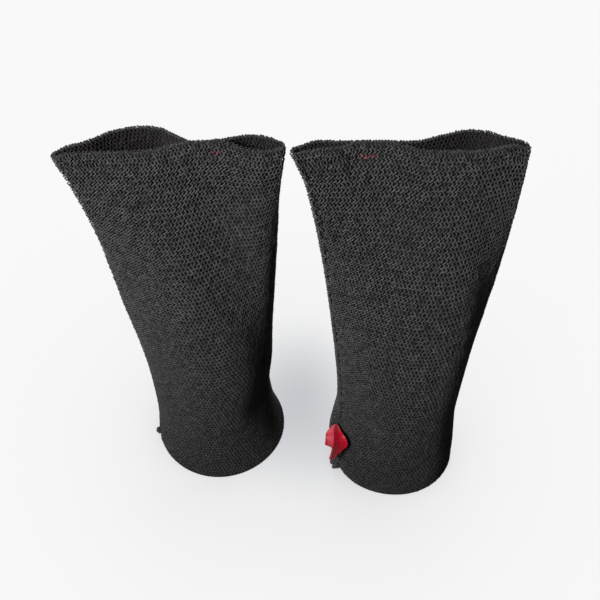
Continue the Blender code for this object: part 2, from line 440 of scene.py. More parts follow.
    def place(self, share: np.ndarray, height: np.ndarray, out: np.ndarray | float) -> np.ndarray:
        """Points on the cloth, moved out of its outer face.

        Args:
            share: How far round the cloth, as a share of its girth.
            height: How high.
            out: How far out of the outer face.

        Returns:
            The points, with x, y and z last.
        """
        column = (share % 1) * FORM_COLUMNS
        row = np.clip(height / FORM_STEP, 0, len(self.heights) - 1 - TOP_CLEAR)
        left = np.floor(column).astype(int) % FORM_COLUMNS
        low = np.floor(row).astype(int)
        right = (left + 1) % FORM_COLUMNS
        across = (column - np.floor(column))[..., None]
        up = (row - low)[..., None]
        mixed = []
        for grid in (self.points, self.normals):
            lower = grid[low, left] * (1 - across) + grid[low, right] * across
            upper = grid[low + 1, left] * (1 - across) + grid[low + 1, right] * across
            mixed.append(lower * (1 - up) + upper * up)
        point, normal = mixed
        point[..., 2] += height - np.clip(height, 0, LENGTH)
        placed = point + np.asarray(out)[..., None] * normal
        placed[..., 2] = np.maximum(placed[..., 2], FLOOR_CLEAR)
        return placed

    def share_at(self, x: float, height: float) -> float:
        """Where the front of the cloth has an x.

        Args:
            x: The x.
            height: How high.

        Returns:
            The share of the girth.
        """
        row = self.points[int(round(height / FORM_STEP))]
        front = row[:, 1] < (row[:, 1].min() + row[:, 1].max()) / 2
        return float(np.argmin(np.where(front, abs(row[:, 0] - x), np.inf)) / FORM_COLUMNS)


# ---------------------------------------------------------------- finishes


class NodeTree:
    """A small helper that fills a material, a world or a group with nodes."""

    def __init__(self, tree: bpy.types.NodeTree) -> None:
        """Keeps the tree that the nodes go in."""
        self.tree = tree

    def add(self, kind: str, values: dict | None = None, **settings: object) -> bpy.types.Node:
        """Adds one node.

        Args:
            kind: The node's type.
            values: What its inputs are filled with, by name or number.
            settings: The node's own settings.

        Returns:
            The node.
        """
        node = self.tree.nodes.new(kind)
        for name, setting in settings.items():
            setattr(node, name, setting)
        self.fill(node, values or {})
        return node

    def fill(self, node: bpy.types.Node, values: dict) -> None:
        """Sets a node's inputs, or links them where the value is another node's output.

        Args:
            node: The node.
            values: What each input gets, by name or number.
        """
        for name, value in values.items():
            if isinstance(value, Socket):
                self.tree.links.new(value, node.inputs[name])
            else:
                node.inputs[name].default_value = value

    def result(self, operation: str, *values: object) -> Socket:
        """The result of a sum on numbers and outputs."""
        return self.add("ShaderNodeMath", dict(enumerate(values)), operation=operation).outputs["Value"]

    def blend(self, factor: Socket, first: object, second: object) -> Socket:
        """The mix of two colours, each given as such or as an output."""
        values = {"Factor": factor, "A": first, "B": second}
        return self.add("ShaderNodeMix", values, data_type="RGBA").outputs["Result"]

    def spread(
        self, value: Socket, start: float, end: float, most: float = 1.0, kind: str = "LINEAR"
    ) -> Socket:
        """Spreads an output from 0 to a most.

        Args:
            value: The output.
            start: Its value that gives 0.
            end: Its value that gives the most.
            most: The most.
            kind: How the result rises between the two.

        Returns:
            The result, which stays between 0 and the most.
        """
        values = {"Value": value, "From Min": start, "From Max": end, "To Max": most}
        return self.add("ShaderNodeMapRange", values, interpolation_type=kind).outputs["Result"]


def start_material(name: str) -> tuple[bpy.types.Material, NodeTree, bpy.types.Node]:
    """Starts a material.

    Args:
        name: The material's name.

    Returns:
        The material, its nodes and its shader.
    """
    made = bpy.data.materials.new(name)
    made.use_nodes = True
    return made, NodeTree(made.node_tree), made.node_tree.nodes["Principled BSDF"]


@dataclass(frozen=True)
class FibreEffect:
    """Yarn's fuzz, as a mask and a normal that several finishes share."""

    name: str = "yarn_fibres"
    depth: float = 0.0002
    inputs: tuple[tuple[str, float], ...] = (("Fuzz Scale", 2400.0), ("Strength", 0.5))

    def group(self) -> bpy.types.NodeTree:
        """The node group, made once.

        Returns:
            A group whose inputs are Fuzz Scale and Strength, and whose outputs are Fuzz and Normal.
        """
        known = bpy.data.node_groups.get(self.name)
        if known:
            return known
        made = bpy.data.node_groups.new(self.name, "ShaderNodeTree")
        for label, value in self.inputs:
            socket = made.interface.new_socket(label, in_out="INPUT", socket_type="NodeSocketFloat")
            socket.default_value = value
        made.interface.new_socket("Fuzz", in_out="OUTPUT", socket_type="NodeSocketFloat")
        made.interface.new_socket("Normal", in_out="OUTPUT", socket_type="NodeSocketVector")
        nodes = NodeTree(made)
        given = nodes.add("NodeGroupInput").outputs
        place = nodes.add("ShaderNodeTexCoord").outputs["Object"]
        values = {"Detail": 3.0, "Roughness": 0.7, "Distortion": 0.6}
        values |= {"Vector": place, "Scale": given["Fuzz Scale"]}
        fuzz = nodes.add("ShaderNodeTexNoise", values).outputs["Fac"]
        values = {"Height": fuzz, "Strength": given["Strength"], "Distance": self.depth}
        bump = nodes.add("ShaderNodeBump", values)
        nodes.add("NodeGroupOutput", {"Fuzz": fuzz, "Normal": bump.outputs["Normal"]})
        return made


@dataclass(frozen=True)
class YarnFinish:
    """A spun yarn: dark and light tones between fibres, a soft sheen and fuzz."""

    name: str
    dark: Triple
    light: Triple
    fuzz_scale: float = 2400.0
    fuzz_share: float = 2.8
    darkest_at: float = 1.42
    lightest_at: float = 2.32
    bump: float = 0.5
    roughness: float = 0.82
    shine: float = 0.35
    sheen: float = 0.10
    sheen_roughness: float = 0.45
    tone_attribute: str = "tone"

    def material(self) -> bpy.types.Material:
        """The finish as a material, whose tone is the stitch's own and the fuzz's together.

        Returns:
            The material, made once.
        """
        known = bpy.data.materials.get(self.name)
        if known:
            return known
        made, nodes, shader = start_material(self.name)
        values = {"Fuzz Scale": self.fuzz_scale, "Strength": self.bump}
        fibres = nodes.add("ShaderNodeGroup", values, node_tree=FibreEffect().group()).outputs
        tone = nodes.add("ShaderNodeAttribute", attribute_name=self.tone_attribute).outputs["Fac"]
        mottle = nodes.result("MULTIPLY_ADD", fibres["Fuzz"], self.fuzz_share, tone)
        lightness = nodes.spread(mottle, self.darkest_at, self.lightest_at)
        values = {
            "Base Color": nodes.blend(lightness, (*self.dark, 1), (*self.light, 1)),
            "Normal": fibres["Normal"],
            "Roughness": self.roughness,
            "Specular IOR Level": self.shine,
            "Sheen Weight": self.sheen,
            "Sheen Roughness": self.sheen_roughness,
        }
        nodes.fill(shader, values)
        made.diffuse_color = (*self.light, 1)
        return made


# How many radians of its wave Blender's wave texture has in a unit at a scale of 1.
WAVE_RADIANS = 20


@dataclass(frozen=True)
class TapeFinish:
    """Satin woven tape: soft crossed ribs, a silky sheen and a painted sheen that lightens its left face."""

    name: str
    deep: Triple
    pale: Triple
    # Painted sheen: this lighter colour is laid on the tape's left face, where the light falls.
    painted_sheen: Triple = (0.46, 0.045, 0.066)
    painted_sheen_from: float = 0.0012
    painted_sheen_to: float = 0.0046
    painted_sheen_fade: float = 0.0008
    painted_sheen_share: float = 0.85
    rib: float = 0.001634
    directions: tuple[tuple[str, float], ...] = (("X", 1.0), ("Y", 0.6))
    rib_depth: float = 0.0001
    rib_strength: float = 0.4
    rib_waver: float = 0.4
    roughness: float = 0.48
    shine: float = 0.35
    sheen: float = 0.20
    sheen_roughness: float = 0.35
    sheen_tint: Triple = (1.0, 0.55, 0.60)

    def material(self) -> bpy.types.Material:
        """The finish as a material.

        Returns:
            The material.
        """
        made, nodes, shader = start_material(self.name)
        place = nodes.add("ShaderNodeUVMap", uv_map="along_tape").outputs["UV"]
        ribs = [self._ribs(nodes, place, direction, share) for direction, share in self.directions]
        weave = nodes.result("MULTIPLY", *ribs)
        colour = nodes.blend(weave, (*self.deep, 1), (*self.pale, 1))
        across = nodes.add("ShaderNodeSeparateXYZ", {"Vector": place}).outputs["X"]
        # Painted sheen: a band across the tape's left face is blended towards the lighter colour, standing in
        # for the light on that face.
        painted_sheen_side = nodes.spread(across, self.painted_sheen_to, self.painted_sheen_to - self.painted_sheen_fade, self.painted_sheen_share)
        edge = nodes.spread(across, self.painted_sheen_from - self.painted_sheen_fade / 2, self.painted_sheen_from + self.painted_sheen_fade / 2)
        painted_sheen_colour = nodes.blend(nodes.result("MULTIPLY", painted_sheen_side, edge), colour, (*self.painted_sheen, 1))
        values = {"Height": weave, "Strength": self.rib_strength, "Distance": self.rib_depth}
        bump = nodes.add("ShaderNodeBump", values)
        values = {
            "Base Color": painted_sheen_colour,
            "Normal": bump.outputs["Normal"],
            "Roughness": self.roughness,
            "Specular IOR Level": self.shine,
            "Sheen Weight": self.sheen,
            "Sheen Roughness": self.sheen_roughness,
            "Sheen Tint": (*self.sheen_tint, 1),
        }
        nodes.fill(shader, values)
        made.diffuse_color = (*self.deep, 1)
        return made

    def _ribs(self, nodes: NodeTree, place: Socket, direction: str, share: float) -> Socket:
        """The tape's ribs that run one way.

        Args:
            nodes: The material's nodes.
            place: The tape's own map.
            direction: The axis of the map that the ribs are counted along.
            share: How many ribs there are, as a share of one for each rib's width.

        Returns:
            The output that is light on a rib and dark between two.
        """
        scale = share * 2 * math.pi / (self.rib * WAVE_RADIANS)
        values = {"Vector": place, "Scale": scale, "Distortion": self.rib_waver}
        wave = nodes.add("ShaderNodeTexWave", values, wave_type="BANDS", bands_direction=direction)
        return wave.outputs["Fac"]


@dataclass(frozen=True)
class FloorFinish:
    """A pale floor that glows evenly for the camera, with painted soft shadows round the hems and a painted
    shade between the warmers.
    """

    name: str = "studio_floor"
    clear: Triple = (0.932, 0.932, 0.932)
    # Painted shadow: the floor's glow is blended towards these colours round the hems and between the two
    # warmers.
    shadow: Triple = (0.470, 0.478, 0.495)
    between: Triple = (0.500, 0.515, 0.550)
    between_shade_place: Triple = (0.003, 0.017, 0.0)
    between_shade_size: Triple = (0.044, 0.064, 1.0)
    between_shade_share: float = 0.80
    shadow_reach: float = 0.16
    shadow_bend: float = 1.25
    shadow_samples: int = 24
    matt: Triple = (0.01, 0.01, 0.01)
    roughness: float = 0.95
    bounce: Triple = (0.08, 0.08, 0.08)

    def material(self) -> bpy.types.Material:
        """The finish as a material.

        Returns:
            The floor's material, whose light on the cloth is that of a greyer floor.
        """
        made, nodes, shown = start_material(self.name)
        values = {"Distance": self.shadow_reach}
        # Painted shadow: the glow darkens where the floor is hemmed in by the cloth.
        open_sky = nodes.add("ShaderNodeAmbientOcclusion", values, samples=self.shadow_samples).outputs["AO"]
        bent = nodes.result("POWER", nodes.result("SUBTRACT", 1.0, open_sky), self.shadow_bend)
        tone = nodes.blend(nodes.result("SUBTRACT", 1.0, bent), (*self.shadow, 1), (*self.clear, 1))
        place = nodes.add("ShaderNodeTexCoord").outputs["Object"]
        # Painted shade: a soft darker patch on the floor between the two warmers.
        values = {"Vector": place, "Location": self.between_shade_place, "Scale": self.between_shade_size}
        fitted = nodes.add("ShaderNodeMapping", values, vector_type="TEXTURE").outputs["Vector"]
        near = nodes.add("ShaderNodeTexGradient", {"Vector": fitted}, gradient_type="SPHERICAL")
        soft = nodes.spread(near.outputs["Fac"], 0.0, 1.0, self.between_shade_share, "SMOOTHSTEP")
        values = {
            "Base Color": (*self.matt, 1),
            "Roughness": self.roughness,
            "Specular IOR Level": 0.0,
            "Emission Color": nodes.blend(soft, tone, (*self.between, 1)),
            "Emission Strength": 1.0,
        }
        nodes.fill(shown, values)
        reflected = nodes.add("ShaderNodeBsdfDiffuse", {"Color": (*self.bounce, 1)})
        seen_or_not(nodes, made.node_tree.nodes["Material Output"], reflected, shown)
        return made


def seen_or_not(
    nodes: NodeTree, output: bpy.types.Node, hidden: bpy.types.Node, seen: bpy.types.Node
) -> None:
    """Gives an output one shader for the camera and another for the light that goes round.

    Args:
        nodes: The tree's nodes.
        output: The tree's output.
        hidden: The shader that the light meets.
        seen: The shader that the camera sees.
    """
    which = nodes.add("ShaderNodeLightPath").outputs["Is Camera Ray"]
    mixed = nodes.add("ShaderNodeMixShader", {0: which, 1: hidden.outputs[0], 2: seen.outputs[0]})
    nodes.fill(output, {"Surface": mixed.outputs["Shader"]})


BODY_YARN = YarnFinish("charcoal_yarn", dark=(0.008, 0.008, 0.008), light=(0.098, 0.098, 0.099))
# Painted shade: the yarn inside the mouth is the body's yarn made darker, for the shade inside the tube.
SHADED_INSIDE_YARN = YarnFinish("painted_shade_inside_yarn", dark=(0.004, 0.003, 0.003), light=(0.022, 0.015, 0.017))
EDGING_YARN = YarnFinish("edging_yarn", dark=(0.008, 0.008, 0.008), light=(0.090, 0.090, 0.091))
# Painted shade: the beads over the rim are the edging's yarn made darker, so that their tops catch less of
# the light.
SHADED_RIM_YARN = YarnFinish("painted_shade_rim_yarn", dark=(0.009, 0.009, 0.009), light=(0.052, 0.051, 0.052))
# Painted shade: the band under the edging is darker than its yarn, standing in for the shade between the
# edging's stitches.
SHADE_BAND_YARN = YarnFinish("painted_shade_band_cloth", dark=(0.008, 0.008, 0.008), light=(0.024, 0.024, 0.025))
# Painted shade: the ground under the stitches is near-black, standing in for the shade in the gaps between
# them.
SHADE_GROUND_YARN = YarnFinish("painted_shade_ground_cloth", dark=(0.002, 0.002, 0.002), light=(0.006, 0.005, 0.005), sheen=0.0)
SEAM_YARN = YarnFinish("seam_thread", dark=(0.008, 0.008, 0.009), light=(0.030, 0.030, 0.032))
# Painted highlight: the knot is the seam's yarn made lighter and bluer than the seam thread, for the glint on
# it.
PAINTED_GLINT_KNOT_YARN = YarnFinish("knot_yarn_painted_glint", dark=(0.008, 0.007, 0.010), light=(0.078, 0.072, 0.086))
TACK_THREAD = YarnFinish("tack_thread", dark=(0.09, 0.004, 0.010), light=(0.36, 0.045, 0.070), bump=0.3)
LABEL_TAPE_FINISH = TapeFinish("red_tape", deep=(0.42, 0.001, 0.013), pale=(0.50, 0.008, 0.028))


# ---------------------------------------------------------------- repeated shapes


def take_apart(shape: bpy.types.Object) -> tuple[np.ndarray, np.ndarray]:
    """Ends the modelling of a shape and takes the object out of the scene.

    Args:
        shape: The object, in edit mode.

    Returns:
        Its points (across, up, out) and its triangles, facing outwards.
    """
    bpy.ops.mesh.select_all(action="SELECT")
    bpy.ops.mesh.quads_convert_to_tris()
    bpy.ops.mesh.normals_make_consistent(inside=False)
    bpy.ops.object.mode_set(mode="OBJECT")
    points = np.array([vertex.co for vertex in shape.data.vertices], float)
    triangles = np.array([list(face.vertices) for face in shape.data.polygons])
    bpy.data.objects.remove(shape, do_unlink=True)
    return points, triangles


@dataclass(frozen=True)
class YarnShape:
    """A short length of yarn, modelled once and laid many times: sections between two drawn-in tips."""

    first_tip: Triple
    sections: tuple[YarnStation, ...]
    last_tip: Triple
    sides: int = 4

    def model(self) -> tuple[np.ndarray, np.ndarray]:
        """Models the shape with the modelling tools.

        Returns:
            Its points (across, up, out) and its triangles, facing outwards.
        """
        deselect_all()
        first = self.sections[0]
        bpy.ops.mesh.primitive_circle_add(
            vertices=self.sides,
            radius=1,
            fill_type="NGON",
            location=(first.across, first.up, first.out),
            rotation=(math.pi / 2, 0, 0),
        )
        shape = bpy.context.object
        bpy.ops.object.transform_apply(location=True, rotation=True, scale=True)
        bpy.ops.object.mode_set(mode="EDIT")
        bpy.ops.mesh.select_all(action="SELECT")
        self._resize(first, first.half_width, first.half_height)
        bpy.ops.mesh.extrude_region_move(TRANSFORM_OT_translate={"value": self._step(first, self.first_tip)})
        bpy.ops.mesh.merge(type="CENTER")
        self._select_at(shape, first)
        before = first
        for section in self.sections[1:]:
            move = self._step(before, (section.across, section.up, section.out))
            bpy.ops.mesh.extrude_region_move(TRANSFORM_OT_translate={"value": move})
            wider = section.half_width / before.half_width
            self._resize(section, wider, section.half_height / before.half_height)
            before = section
        bpy.ops.mesh.extrude_region_move(TRANSFORM_OT_translate={"value": self._step(before, self.last_tip)})
        bpy.ops.mesh.merge(type="CENTER")
        return take_apart(shape)

    @staticmethod
    def _step(section: YarnStation, to: Triple) -> Triple:
        """The move from a section's middle to a point."""
        return (to[0] - section.across, to[1] - section.up, to[2] - section.out)

    @staticmethod
    def _resize(section: YarnStation, width: float, height: float) -> None:
        """Scales the selected section about its own middle.

        Args:
            section: The section.
            width: How many times as wide it becomes.
            height: How many times as thick, out of the cloth.
        """
        middle = (section.across, section.up, section.out)
        bpy.ops.transform.resize(value=(width, 1, height), center_override=middle)

    @staticmethod
    def _select_at(shape: bpy.types.Object, section: YarnStation) -> None:
        """Selects a section's points.

        Args:
            shape: The object, in edit mode.
            section: The section, whose points are all that lie this far up.
        """
        bpy.ops.mesh.select_all(action="DESELECT")
        builder = bmesh.from_edit_mesh(shape.data)
        for vertex in builder.verts:
            vertex.select_set(abs(vertex.co.y - section.up) < SAME_POINT / 10)
        builder.select_flush(True)
        bmesh.update_edit_mesh(shape.data)


@dataclass(frozen=True)
class BeadShape:
    """A round bead of yarn, drawn out one way and slanted, for edgings and tacks."""

    half_width: float
    half_length: float
    half_height: float
    slant_deg: float
    segments: int = 5
    rings: int = 4

    def model(self) -> tuple[np.ndarray, np.ndarray]:
        """Models the bead with the modelling tools.

        Returns:
            Its points (across, up, out) and its triangles, facing outwards.
        """
        deselect_all()
        bpy.ops.mesh.primitive_uv_sphere_add(
            segments=self.segments,
            ring_count=self.rings,
            radius=1,
            location=(0, 0, 0),
            rotation=(math.pi / 2, 0, 0),
        )
        shape = bpy.context.object
        bpy.ops.object.transform_apply(location=True, rotation=True, scale=True)
        bpy.ops.object.mode_set(mode="EDIT")
        bpy.ops.mesh.select_all(action="SELECT")
        size = (self.half_width, self.half_length, self.half_height)
        bpy.ops.transform.resize(value=size, center_override=(0, 0, 0))
        points, triangles = take_apart(shape)
        slant = math.radians(self.slant_deg)
        across = points[:, 0] * math.cos(slant) + points[:, 1] * math.sin(slant)
        up = points[:, 1] * math.cos(slant) - points[:, 0] * math.sin(slant)
        return np.column_stack([across, up, points[:, 2]]), triangles


STITCH = YarnShape(
    first_tip=(-0.00022, 0.00110, -0.00040),
    sections=(
        YarnStation(0.00028, 0.00074, 0.00037, 0.00046, 0.00027),
        YarnStation(0.00090, 0.00008, -0.00022, 0.00031, 0.00023),
        YarnStation(0.00052, -0.00036, 0.00012, 0.00043, 0.00025),
        YarnStation(-0.00036, -0.00094, 0.00025, 0.00051, 0.00025),
    ),
    last_tip=(-0.00090, -0.00128, -0.00030),
)
EDGING_STITCH = YarnShape(
    first_tip=(-0.00015, 0.00095, -0.00035),
    sections=(
        YarnStation(0.00026, 0.00066, 0.00036, 0.00038, 0.00030),
        YarnStation(0.00074, 0.00008, -0.00004, 0.00030, 0.00026),
        YarnStation(0.00040, -0.00034, 0.00012, 0.00040, 0.00028),
        YarnStation(-0.00028, -0.00080, 0.00026, 0.00046, 0.00028),
    ),
    last_tip=(-0.00072, -0.00110, -0.00030),
)
SEAM_BAR = YarnShape(
    first_tip=(-0.0001, 0.0009, -0.0004),
    sections=(
        YarnStation(0.0001, 0.0005, 0.0, 0.00040, 0.00022),
        YarnStation(-0.0001, -0.0005, 0.0, 0.00040, 0.00022),
    ),
    last_tip=(0.0001, -0.0009, -0.0004),
)
RIM_BEAD = BeadShape(0.00046, 0.00080, 0.00036, 42)
CORNER_STROKE = BeadShape(0.00036, 0.00135, 0.00036, -9)
TACK_STROKE = BeadShape(0.00020, 0.00072, 0.00022, 62)
KNOT_LOBE = BeadShape(0.00080, 0.00110, 0.00150, 25, segments=8, rings=6)


@dataclass(frozen=True)
class Unevenness:
    """How much the hand of the knitter and the yarn vary from stitch to stitch."""

    shift: float = 0.00008
    lift: float = 0.00005
    size: float = 0.08
    turn_deg: float = 7.0
    tone: float = 0.16


EDGING_UNEVENNESS = Unevenness(shift=0.00010, lift=0.00005, size=0.10, turn_deg=11, tone=0.22)
KNOT_UNEVENNESS = Unevenness(turn_deg=35, size=0.15)
TACK_UNEVENNESS = Unevenness(shift=0.0005, turn_deg=24, tone=0.5)


@dataclass
class Layer:
    """Many copies of one shape, laid on a cloth as one mesh, with the shape's own zero this far out of it."""

    form: ClothForm
    shape: tuple[np.ndarray, np.ndarray]
    out: float
    inside: bool = False
    uneven: Unevenness = Unevenness()
    parts: list[tuple[np.ndarray, np.ndarray]] = field(default_factory=list)

    def lay(
        self,
        shares: np.ndarray,
        heights: np.ndarray | float,
        chance: np.random.Generator,
        relief: float = 1.0,
        fullness: float = 1.0,
        tone: float = 0.5,
    ) -> None:
        """Lays one copy at each place.

        Args:
            shares: Where each copy's middle is round the cloth.
            heights: How high each is, or all are.
            chance: The seeded source of the unevenness.
            relief: How much of the shape's own height and unevenness these copies keep.
            fullness: How many times as wide as the shape they are.
            tone: How light their yarn is on the whole, from 0 to 1.
        """
        count = len(shares)
        uneven = self.uneven
        facing = -1.0 if self.inside else 1.0

        def vary(amount: float) -> np.ndarray:
            """A chance amount for each copy."""
            return amount * chance.standard_normal(count)[:, None]

        turn = vary(math.radians(uneven.turn_deg))
        size = fullness * (1 + uneven.size * vary(1.0).clip(-2, 2))
        x, y, z = (self.shape[0][:, axis][None, :] for axis in range(3))
        across = size * (x * np.cos(turn) - y * np.sin(turn)) + vary(uneven.shift)
        up = fullness * (x * np.sin(turn) + y * np.cos(turn)) + vary(uneven.shift)
        lift = relief * (size / fullness * z + vary(uneven.lift))
        share = shares[:, None] + facing * across / KNIT_GIRTH
        placed = self.form.place(share, np.reshape(heights, (-1, 1)) + up, self.out + facing * lift)
        tones = (tone + relief * vary(uneven.tone)[:, 0]).clip(0, 1)
        self.parts.append((placed.reshape(-1, 3), np.repeat(tones, placed.shape[1])))

    def build(self, name: str, finish: YarnFinish) -> bpy.types.Object:
        """Joins all copies into one piece.

        Args:
            name: The piece's name.
            finish: Its yarn.

        Returns:
            The piece, each copy with its own tone.
        """
        points = np.concatenate([placed for placed, _ in self.parts])
        tones = np.concatenate([tone for _, tone in self.parts])
        size = len(self.shape[0])
        starts = np.arange(len(points) // size)[:, None, None] * size
        triangles = (self.shape[1][None] + starts).reshape(-1, 3)
        made = mesh_object(name, points, triangles, finish.material())
        tone = made.data.attributes.new(finish.tone_attribute, "FLOAT", "POINT")
        tone.data.foreach_set("value", tones.astype(np.float32))
        return made


# ---------------------------------------------------------------- one warmer


@dataclass
class GroundCloth:
    """The thin cloth that the stitches stand on: an outer and an inner face, open at both ends. Its
    near-black yarn is painted shade in the gaps between the stitches.
    """

    form: ClothForm
    columns: int = 110
    rows: int = 64
    bottom: float = 0.0001
    top: float = 0.1937
    hem_rise: float = 0.0004
    rise_height: float = 0.125

    def build(self) -> bpy.types.Object:
        """Makes the cloth.

        Returns:
            The cloth as one closed wall.
        """
        share = np.arange(self.columns)[None, :] / self.columns
        heights = np.linspace(self.bottom, self.top, self.rows)[:, None]
        hem = GROUND_OUT + self.hem_rise * np.clip(1 - heights / self.rise_height, 0, 1)
        rings = []
        for height, out in ((heights, hem), (heights[::-1], np.array(GROUND_IN))):
            rings.append(self.form.place(*np.broadcast_arrays(share, height, out)))
        points = np.concatenate(rings).reshape(-1, 3)
        faces = grid_faces(2 * self.rows, self.columns, closed_rows=True)
        return mesh_object(f"{self.form.side_name}_cloth", points, faces, SHADE_GROUND_YARN.material())


@dataclass
class Knit:
    """The stitches on the outside of a tube and on the inside of its wide end.

    Their relief, fullness and tone, which are their look, change from the hem up; the darker tone near the
    hem is painted shade.
    """

    form: ClothForm
    seed: int
    bands: tuple[str, ...] = ("lower", "middle", "upper")
    first_row: float = 0.0007
    inside_rows: int = 11
    inside_rows_over: int = 3
    seam_clear: float = 0.45
    # Painted shade: the stitches near the hem get a darker tone, for the light that falls off towards the
    # floor.
    hem_look_and_shade: Triple = (0.42, 1.20, 0.12)
    full_look: Triple = (1.0, 1.0, 0.5)
    full_look_height: float = 0.140

    def build(self) -> list[bpy.types.Object]:
        """Lays every stitch.

        Returns:
            The bands of stitches from the hem up, then the inside band.
        """
        shape = STITCH.model()
        chance = np.random.default_rng(self.seed)
        rows = int((BODY_TOP - self.first_row) / ROW_HEIGHT)
        cuts = np.linspace(0, rows, len(self.bands) + 1).astype(int)
        pieces = []
        for band, low, high in zip(self.bands, cuts, cuts[1:]):
            layer = Layer(self.form, shape, YARN_OUT)
            for row in range(low, high):
                self._lay_row(layer, row, chance)
            pieces.append(layer.build(f"{self.form.side_name}_stitches_{band}", BODY_YARN))
        layer = Layer(self.form, shape, -WALL, inside=True)
        for row in range(rows - self.inside_rows, rows + self.inside_rows_over):
            self._lay_row(layer, row, chance)
        # These inside stitches take the darker yarn, painted shade for the inside of the tube.
        pieces.append(layer.build(f"{self.form.side_name}_stitches_inside", SHADED_INSIDE_YARN))
        return pieces

    def _lay_row(self, layer: Layer, row: int, chance: np.random.Generator) -> None:
        """Lays one row of stitches round the tube, clear of the seam.

        Args:
            layer: The layer that gets them.
            row: The row's number from the hem.
            chance: The seeded source of the unevenness.
        """
        place = np.arange(STITCHES_ROUND) + (-row * ROW_SHIFT) % 1
        from_seam = np.minimum(place, STITCHES_ROUND - place)
        place = place[from_seam > self.seam_clear]
        height = self.first_row + (row + 0.5) * ROW_HEIGHT
        up = min(1.0, height / self.full_look_height)
        look = (hem + (full - hem) * up for hem, full in zip(self.hem_look_and_shade, self.full_look))
        layer.lay(place / STITCHES_ROUND, height, chance, *look)


@dataclass
class Edging:
    """The linked edging: finer stitches up to the rim, beads over it, and strokes near the corners."""

    form: ClothForm
    seed: int
    stitches_round: int = 132
    rows: tuple[tuple[float, float], ...] = ((0.1950, -0.00012), (0.1968, -0.00008), (0.1986, -0.00018))
    row_shift: float = 0.58
    strokes_round: int = 156
    strokes_at: tuple[float, float] = (0.1949, -0.00022)
    corners: tuple[tuple[float, float], ...] = ((-0.07, 0.105), (0.43, 0.55))
    rim_round: int = 164
    rim_height: float = 0.1999
    rim_rows: tuple[tuple[str, float, float], ...] = (("rim", -0.00048, 0.0), ("rim_inner", -0.00102, 0.5))
    band: tuple[tuple[float, float], ...] = (
        (0.1920, GROUND_OUT),
        (0.1945, -0.00062),
        (0.1984, -0.00055),
        (0.1995, -0.00065),
        (0.1998, -0.00085),
        (0.1995, -0.00115),
        (0.1982, -0.00132),
        (0.1945, -0.00138),
        (0.1920, GROUND_IN),
    )

    def build(self) -> list[bpy.types.Object]:
        """Makes the edging.

        Returns:
            The band and the stitches on it.
        """
        chance = np.random.default_rng(self.seed)
        name = f"{self.form.side_name}_edging"
        knit = Layer(self.form, EDGING_STITCH.model(), 0.0, uneven=EDGING_UNEVENNESS)
        for row, (height, out) in enumerate(self.rows):
            shares = (np.arange(self.stitches_round) + self.row_shift * row) / self.stitches_round
            if row == 0:
                shares = shares[~self._in_corner(shares)]
            knit.out = out
            knit.lay(shares, height, chance)
        height, out = self.strokes_at
        strokes = Layer(self.form, CORNER_STROKE.model(), out, uneven=EDGING_UNEVENNESS)
        shares = np.arange(self.strokes_round) / self.strokes_round
        shares = shares[self._in_corner(shares)]
        strokes.lay(shares, height, chance)
        pieces = [self._band(f"{name}_band"), knit.build(f"{name}_stitches", EDGING_YARN)]
        pieces.append(strokes.build(f"{name}_strokes", EDGING_YARN))
        for part, out, start in self.rim_rows:
            layer = Layer(self.form, RIM_BEAD.model(), out, uneven=EDGING_UNEVENNESS)
            shares = (np.arange(self.rim_round) + start) / self.rim_round
            layer.lay(shares, self.rim_height, chance)
            pieces.append(layer.build(f"{name}_{part}", SHADED_RIM_YARN))
        return pieces

    def _in_corner(self, shares: np.ndarray) -> np.ndarray:
        """Which places lie near one of the rim's two corners.

        Args:
            shares: The places.

        Returns:
            True for each place that does.
        """
        near = np.zeros(len(shares), bool)
        for first, last in self.corners:
            near |= (shares - first) % 1 < last - first
        return near

    def _band(self, name: str) -> bpy.types.Object:
        """The band that the edging's stitches lie on, a closed ring of cloth.

        Args:
            name: The piece's name.

        Returns:
            The band.
        """
        columns = 2 * STITCHES_ROUND
        share = np.arange(columns) / columns
        rings = [self.form.place(share, np.full(columns, height), out) for height, out in self.band]
        faces = grid_faces(len(self.band), columns, closed_rows=True)
        return mesh_object(name, np.concatenate(rings), faces, SHADE_BAND_YARN.material())


@dataclass
class SideSeam:
    """The sewn seam: a groove crossed by the sewing yarn's bars."""

    form: ClothForm
    seed: int
    over_ground: float = 0.0003

    def build(self) -> bpy.types.Object:
        """Lays the bars up the seam.

        Returns:
            The sewing.
        """
        chance = np.random.default_rng(self.seed)
        layer = Layer(self.form, SEAM_BAR.model(), GROUND_OUT + self.over_ground)
        heights = np.arange(0.5 * ROW_HEIGHT, BODY_TOP, ROW_HEIGHT)
        layer.lay(np.zeros(len(heights)), heights, chance)
        return layer.build(f"{self.form.side_name}_seam_sewing", SEAM_YARN)


@dataclass(frozen=True)
class Knot:
    """The fastened-off end of the seam's yarn at the hem: a few lobes pressed together."""

    share: float
    out: float
    height: float
    lobes: int
    spread: float
    seed: int
    sunk_share: float = 0.25

    def build(self, form: ClothForm) -> bpy.types.Object:
        """Makes the knot on a warmer's seam.

        Args:
            form: The warmer's cloth.

        Returns:
            The knot.
        """
        chance = np.random.default_rng(self.seed)
        layer = Layer(form, KNOT_LOBE.model(), self.out, uneven=KNOT_UNEVENNESS)
        for lobe in range(self.lobes):
            layer.out = self.out * (1.0 if lobe % 2 else self.sunk_share)
            turn = 2 * math.pi * lobe / self.lobes
            share = self.share + self.spread * math.cos(turn) / KNIT_GIRTH
            height = self.height + self.spread * math.sin(turn)
            layer.lay(np.array([share]), height, chance)
        return layer.build(f"{form.side_name}_seam_knot", PAINTED_GLINT_KNOT_YARN)


